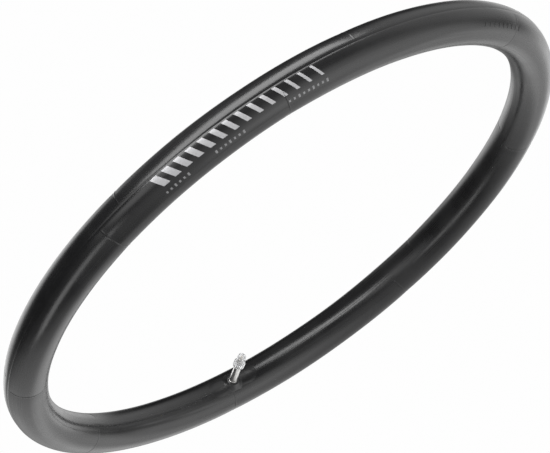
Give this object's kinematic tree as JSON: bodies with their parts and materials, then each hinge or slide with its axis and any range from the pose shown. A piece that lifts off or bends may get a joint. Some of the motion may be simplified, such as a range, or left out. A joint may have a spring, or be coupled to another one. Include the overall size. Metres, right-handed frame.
{
  "type": "bicycle inner tube",
  "caption": "Inflated butyl inner tube ring for a small bicycle wheel, with a slender metal two-stage air valve under a clear ribbed dust cap.",
  "frame": {"origin": "centre of the ring, at the middle of its thickness", "axes": "+Z along the ring's axis, so the tube lies flat; the valve stands on the ring's inner side at -Y and points along +Y towards the centre"},
  "size_m": [0.4749, 0.475, 0.031],
  "materials": {
    "butyl": "satin moulded black",
    "pad_rubber": "satin moulded black",
    "stem_nickel": "bright nickel plate over brass",
    "core_nickel": "satin nickel plate over brass",
    "pin_brass": "turned",
    "seal_red": "matte",
    "seal_black": "matte",
    "cap_plastic": "translucent clear"
  },
  "bodies": {
    "tube": {"tube": "butyl", "valve_base": "pad_rubber", "valve_stem": "stem_nickel", "core_body": "core_nickel", "core_seal": "seal_red"},
    "pin": {"valve_pin": "pin_brass", "pin_seal": "seal_black"},
    "nut": {"thumb_nut": "core_nickel"},
    "cap": {"dust_cap": "cap_plastic"}
  },
  "joints": [
    {"name": "cap_off", "type": "slide", "parent": "tube", "child": "cap", "axis": [0, 1, 0], "range_m": [0, 0.08]},
    {"name": "nut_turn", "type": "hinge", "parent": "tube", "child": "nut", "pos_m": [0, -0.1721, 0], "axis": [0, 1, 0], "range_deg": [0, 1440]},
    {"name": "pin_drop", "type": "slide", "parent": "tube", "child": "pin", "axis": [0, 1, 0], "range_m": [-0.0018, 0]}
  ],
  "couplings": [
    {"joint": "nut_turn", "follows": "pin_drop", "rad_per_m": -13963}
  ]
}
